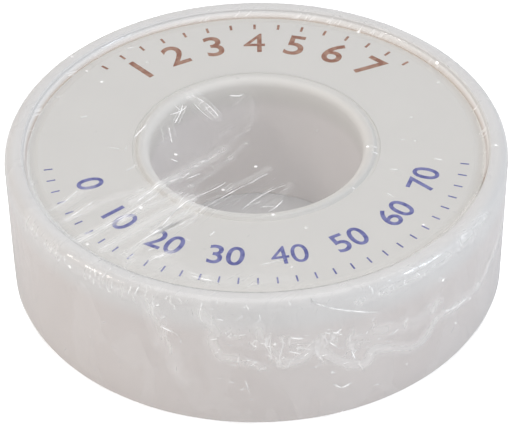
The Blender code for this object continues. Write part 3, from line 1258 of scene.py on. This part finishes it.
# %% [markdown]
# ## Sharp creases
#
# Where the film is pinched it doubles over into a hard line. Several layers lie on each other
# there, so a crease shows as a white thread, with a painted glow. It is made as a closed sliver
# with a low ridge that stands on the film, swells in the middle and dies out at its ends. It is
# white along the ridge and clear at its feet. Each entry is a half width and a route, again given
# one by one.

# %% Creases on the face and over the bore
FACE_CREASES = (
    (0.15, ((-12.8, -10.2), (-17.4, -15.0), (-20.0, -17.6), (-23.0, -20.2))),
    (0.24, ((-17.6, -13.8), (-15.4, -11.2), (-13.8, -9.8))),
    (0.20, ((-9.6, -13.0), (-11.8, -15.8), (-14.0, -19.8), (-16.0, -22.0), (-18.6, -24.8))),
    (0.14, ((-9.6, -17.6), (-11.6, -19.4), (-13.0, -20.4))),
    (0.30, ((-13.0, -25.6), (-14.6, -26.2))),
    (0.16, ((-14.2, -23.8), (-15.6, -24.6))),
    (0.16, ((-17.2, -25.2), (-18.2, -26.2))),
    (0.26, ((-12.0, -18.4), (-13.6, -19.8), (-15.2, -21.4))),
    (0.20, ((-9.4, -13.6), (-11.8, -15.6))),
    (0.14, ((-11.0, -19.4), (-7.0, -15.0), (-4.4, -12.2), (-0.8, -8.4), (1.6, -6.4))),
    (0.26, ((-1.2, -8.8), (0.4, -7.2), (1.8, -6.2))),
    (0.18, ((-6.0, -20.4), (-6.8, -21.6))),
    (0.14, ((-1.0, -21.2), (-1.6, -22.0))),
    (0.26, ((-9.4, -30.0), (-8.0, -30.8), (-6.0, -31.4), (-5.2, -32.2))),
    (0.16, ((0.4, -28.0), (4.0, -26.8))),
    (0.13, ((-2.4, -16.4), (-0.6, -13.8), (2.0, -11.0), (4.6, -9.4))),
    (0.11, ((-1.6, -15.2), (0.6, -14.0))),
    (0.12, ((-9.4, -13.4), (-5.8, -10.2), (-4.0, -7.8))),
    (0.18, ((3.8, -13.6), (2.8, -15.4), (1.6, -16.8))),
    (0.12, ((0.2, -15.4), (2.6, -15.4))),
    (0.12, ((-10.2, 12.2), (-8.0, 10.8), (-5.8, 7.8), (-5.8, 6.0))),
    (0.12, ((-9.8, 10.8), (-8.0, 8.2), (-5.8, 6.0))),
    (0.18, ((-13.2, 7.2), (-11.4, 8.4), (-10.4, 9.8))),
    (0.18, ((-12.4, 5.0), (-11.4, 8.4), (-11.2, 10.2))),
    (0.12, ((-12.4, 9.6), (-11.4, 8.4))),
    (0.15, ((-13.2, 4.6), (-12.6, 0.4))),
    (0.15, ((-12.8, -3.4), (-11.6, -4.0))),
    (0.28, ((-4.2, 12.4), (-2.4, 12.4), (-1.8, 13.0))),
    (0.10, ((-2.0, 14.2), (-1.0, 13.6))),
    (0.16, ((-9.4, -5.0), (-8.4, -4.8))),
    (0.18, ((-10.4, -8.4), (-8.2, -6.6))),
    (0.18, ((-11.0, -8.4), (-9.8, -6.6))),
    (0.14, ((-6.6, -3.8), (-6.0, -5.8))),
    (0.10, ((-5.6, 5.8), (-5.8, 1.4), (-6.4, -1.6))),
    (0.20, ((-16.4, 4.8), (-17.6, 2.8), (-18.4, 1.6))),
    (0.18, ((-22.2, -0.4), (-20.4, -0.8))),
    (0.20, ((-25.6, 7.6), (-26.8, 7.2))),
    (0.15, ((-19.2, 0.2), (-19.6, -1.2))),
    (0.13, ((-17.6, -4.6), (-19.2, -6.2))),
    (0.15, ((-25.8, -10.2), (-28.4, -14.2))),
    (0.16, ((-23.4, -13.0), (-28.0, -18.2))),
    (0.14, ((-24.2, -15.8), (-26.6, -17.2))),
    (0.20, ((26.2, -4.2), (27.6, -4.6))),
    (0.20, ((19.6, -6.6), (21.0, -6.8))),
    (0.16, ((21.4, 0.6), (22.6, 0.6))),
    (0.16, ((17.0, -1.4), (18.2, -1.8))),
    (0.16, ((17.0, -2.8), (18.2, -3.2))),
    (0.16, ((18.8, -12.2), (19.8, -13.2))),
    (0.18, ((-20.6, 25.4), (-19.2, 25.8))),
    (0.14, ((-31.2, 12.6), (-29.8, 12.6))),
)

# %% Creases on the wall
WALL_CREASES = (
    (0.16, ((11, 23.0), (14, 22.0), (15.5, 21.4), (20, 20.0), (27, 18.0))),
    (0.24, ((11, 23.2), (13, 22.2))),
    (0.16, ((15, 15.2), (17, 13.8))),
    (0.14, ((20, 12.6), (21, 10.8))),
    (0.22, ((6.5, 17.0), (9.5, 16.6))),
    (0.20, ((8.5, 15.0), (11, 14.6))),
    (0.14, ((6, 14.6), (9, 13.8))),
    (0.20, ((-21.5, 17.6), (-20, 17.2), (-18, 16.8), (-17, 16.0))),
    (0.13, ((-17, 16.0), (-16.6, 15.4), (-17, 14.8))),
    (0.13, ((-22, 21.0), (-21, 21.6))),
    (0.16, ((-19, 22.2), (-17.6, 21.8), (-18.2, 21.0))),
    (0.13, ((-3, 9.2), (-2, 6.6))),
    (0.16, ((-9, 9.4), (-7.8, 9.4))),
    (0.16, ((16, 7.0), (18, 5.8))),
    (0.22, ((18, 5.8), (20.4, 6.4))),
    (0.14, ((47.5, 6.4), (49, 7.2))),
    (0.18, ((43, 12.6), (48, 11.4), (54, 11.0))),
    (0.16, ((62, 11.2), (63, 12.6))),
)


def fading(share):
    """A crease grows quickly, keeps its width and dies out: from 0 to 1 and back to 0."""
    return max(0.05, min(1.0, 1.6 * math.sin(math.pi * share) ** 0.9))


def on_moved_film(places):
    """Places carried to the outside of the moved film, and the outward direction there."""
    flat = np.array(places)
    rise, milk = swell_shape(flat, swells)
    rise = rise + ripple_shape(flat) + FILM_GAUGE
    # straight up from the face and the inner part of the rim, away from the axis elsewhere
    outward = flat.copy()
    on_top = flat[:, 2] > rim_top - 1.6 * MM
    inner = np.hypot(flat[:, 0], flat[:, 1]) < rim_radius + 1.2 * MM
    outward[on_top & inner] = (0.0, 0.0, 1.0)
    outward[~(on_top & inner), 2] = 0.0
    outward /= np.linalg.norm(outward, axis=1)[:, None]
    return flat + outward * rise[:, None], outward


# depth of a crease's root, and its ridge as a share of its half width, up to a greatest height
FOLD_ROOT = 0.04 * MM
FOLD_RISE = 0.30
FOLD_TOP = 0.08 * MM
# how white a crease is along its ridge, and how white the fainter ones beside it are at most
FOLD_WHITE = 0.85
FELLOW_WHITE = 0.50


def with_fellows(creases, chance):
    """Give each longer crease on the face fainter ones beside it, and more to the longest."""
    family = []
    for half_width, points in creases:
        family.append((0.85 * half_width, points, FOLD_WHITE))
        (x0, y0), (x1, y1) = points[0], points[-1]
        length = math.dist(points[0], points[-1])
        if length < 4.0:
            continue
        count = 4 if length > 6.0 else 2
        for index in range(count):
            off = (-1) ** index * chance.uniform(0.3, 0.8 + 0.4 * index)
            slide = chance.uniform(-0.3, 0.3) * length
            dx = (-off * (y1 - y0) + slide * (x1 - x0)) / length
            dy = (off * (x1 - x0) + slide * (y1 - y0)) / length
            beside = tuple((x + dx, y + dy) for x, y in points)
            family.append((0.6 * half_width, beside, chance.uniform(0.4, 1.0) * FELLOW_WHITE))
    return family


def fold_rings(places, half_width):
    """Rings of four corners along a crease: left foot, ridge, right foot and root."""
    moved, outward = on_moved_film(places)
    along = np.gradient(moved, axis=0)
    across = np.cross(along, outward)
    across /= np.linalg.norm(across, axis=1)[:, None]
    last = len(places) - 1
    width = np.array([half_width * fading(index / last) for index in range(last + 1)])
    side = across * width[:, None]
    ridge = outward * np.minimum(FOLD_RISE * width, FOLD_TOP)[:, None]
    root = moved - outward * FOLD_ROOT
    return np.stack([moved - side, moved + ridge, moved + side, root], axis=1)


def make_creases(name, creases, place):
    """A set of creases as one mesh, each a closed sliver with a ridge."""
    corners, faces, haze = [], [], []
    for half_width, points, white in creases:
        route = smooth_route(points)
        rings = fold_rings([place(*point) for point in route], half_width * MM)
        start = len(corners)
        corners += [tuple(corner) for ring in rings for corner in ring]
        for index, ring in enumerate(rings):
            uneven = 0.75 + 0.9 * noise.noise(ring[1] / MM * 0.9)
            haze += [0.0, white * uneven * fading(index / (len(rings) - 1)), 0.0, 0.0]
        for index in range(len(rings) - 1):
            base = start + 4 * index
            for k in range(4):
                after = (k + 1) % 4
                faces.append((base + k, base + after, base + 4 + after, base + 4 + k))
        faces += [(start, start + 3, start + 2, start + 1)]
        last = start + 4 * (len(rings) - 1)
        faces += [(last, last + 1, last + 2, last + 3)]
    mesh = bpy.data.meshes.new(name)
    mesh.from_pydata(corners, [], faces)
    piece = bpy.data.objects.new(name, mesh)
    bpy.context.collection.objects.link(piece)
    milk = mesh.attributes.new("haze", "FLOAT", "POINT")
    milk.data.foreach_set("value", np.array(haze, dtype=np.float32))
    start_edit(piece)
    bpy.ops.mesh.select_all(action="SELECT")
    bpy.ops.mesh.normals_make_consistent(inside=False)
    end_edit()
    smooth(piece, 80.0)
    mesh.materials.append(pinched_film)
    seat(piece, "film")
    return piece


chance = random.Random(25)
make_creases("face_creases", with_fellows(FACE_CREASES, chance), face_place)
make_creases("wall_creases", [(*crease, FOLD_WHITE) for crease in WALL_CREASES], wall_place)

# %% [markdown]
# ## Small puckers
#
# Round the rim the film had the most width to lose, and it went into hundreds of little pleats
# that catch the lamps. They follow no plan, so they are scattered by a seeded chance: more of
# them where the film is crumpled, each a short crease of its own length, width and slant.

# %% Scatter the puckers
# no pucker goes higher than this, in millimetres
PUCKER_TOP = 23.2
CRUMPLED = (
    # first and last degree, lowest and highest millimetre, how many, mostly upright or not
    (-60, -22, 20.5, 23.3, 60, True),
    (22, 60, 21.0, 23.3, 90, True),
    (-20, 20, 20.5, 23.0, 30, True),
    (-12, 2, 11.0, 18.5, 45, False),
    (4, 26, 10.5, 17.5, 40, False),
    (28, 44, 12.0, 16.5, 20, False),
    (-75, 75, 3.0, 21.5, 55, False),
    (60, 300, 3.0, 21.5, 130, False),
)


def scattered(chance):
    """Short creases on the wall and the rim."""
    wall_radius = shell_radius / MM
    creases = []
    for first, last, low, high, count, upright in CRUMPLED:
        for _ in range(count):
            degrees = chance.uniform(first, last)
            height = chance.uniform(low, high)
            length = chance.uniform(0.3, 1.3)
            slant = chance.gauss(90, 25) if upright else chance.uniform(-30, 60)
            along = length * math.cos(math.radians(slant)) / wall_radius
            up = length * math.sin(math.radians(slant))
            half_width = chance.uniform(0.05, 0.13)
            far_end = (degrees + math.degrees(along), min(PUCKER_TOP, height + up))
            creases.append((half_width, ((degrees, height), far_end), FOLD_WHITE))
    return creases


make_creases("rim_and_wall_puckers", scattered(chance), wall_place)

# %% Update the view layer
bpy.context.view_layer.update()
